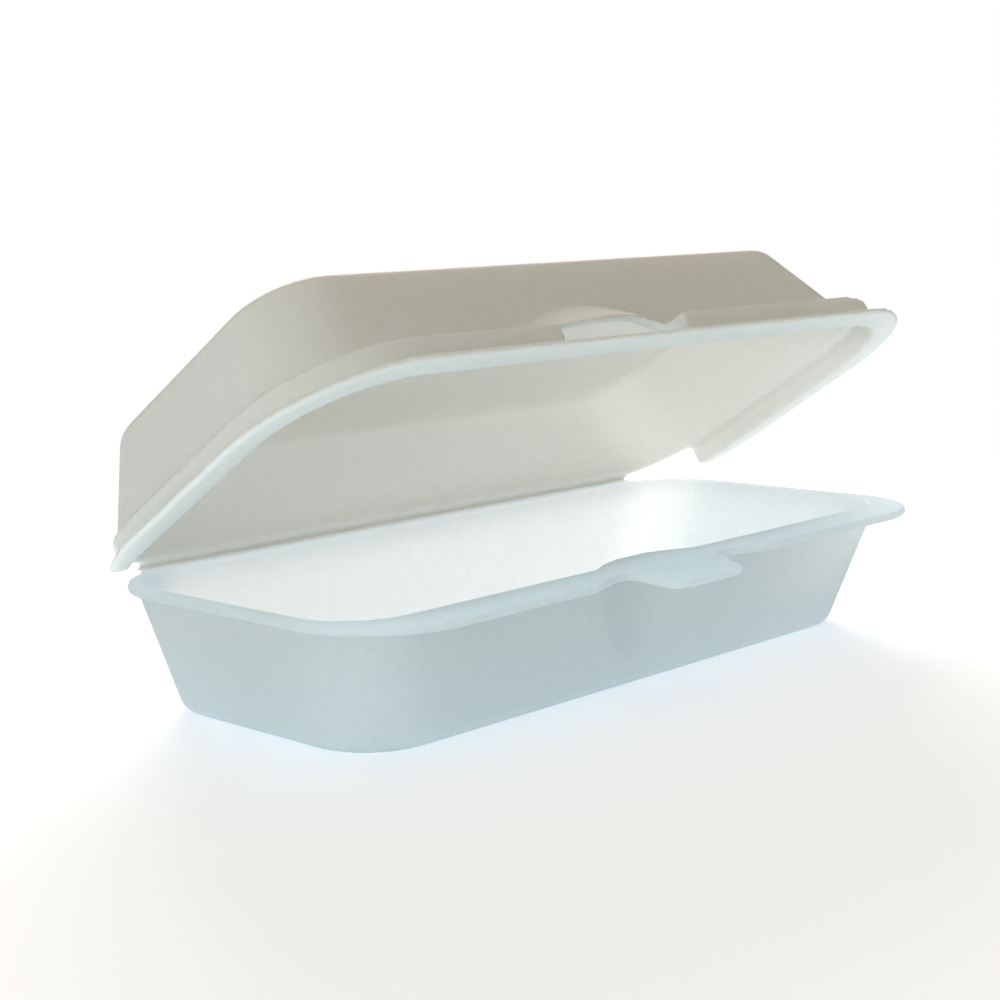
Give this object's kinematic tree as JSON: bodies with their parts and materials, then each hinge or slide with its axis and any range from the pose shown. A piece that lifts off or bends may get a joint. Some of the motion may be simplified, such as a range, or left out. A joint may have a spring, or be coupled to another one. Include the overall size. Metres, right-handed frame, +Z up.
{
  "type": "foam clamshell container",
  "caption": "Oblong hinged takeaway container of pressed white foam: a tray and a domed lid joined at a crease, with a tongue and slot latch.",
  "frame": {"origin": "middle of the tray's flat underside", "axes": "+X along the crease, +Y from the latch to the crease, +Z up out of the tray"},
  "size_m": [0.249, 0.131, 0.1129],
  "materials": {
    "foam_tray": "matt pressed bead foam with a fine soft mottle",
    "foam_lid": "matt pressed bead foam with a fine soft mottle"
  },
  "bodies": {
    "tray": {"tray": "foam_tray"},
    "lid": {"lid": "foam_lid"}
  },
  "joints": [
    {"name": "lid_hinge", "type": "hinge", "parent": "tray", "child": "lid", "pos_m": [0, 0.04745, 0.03615], "axis": [-1, 0, 0], "range_deg": [-28, 148]}
  ]
}
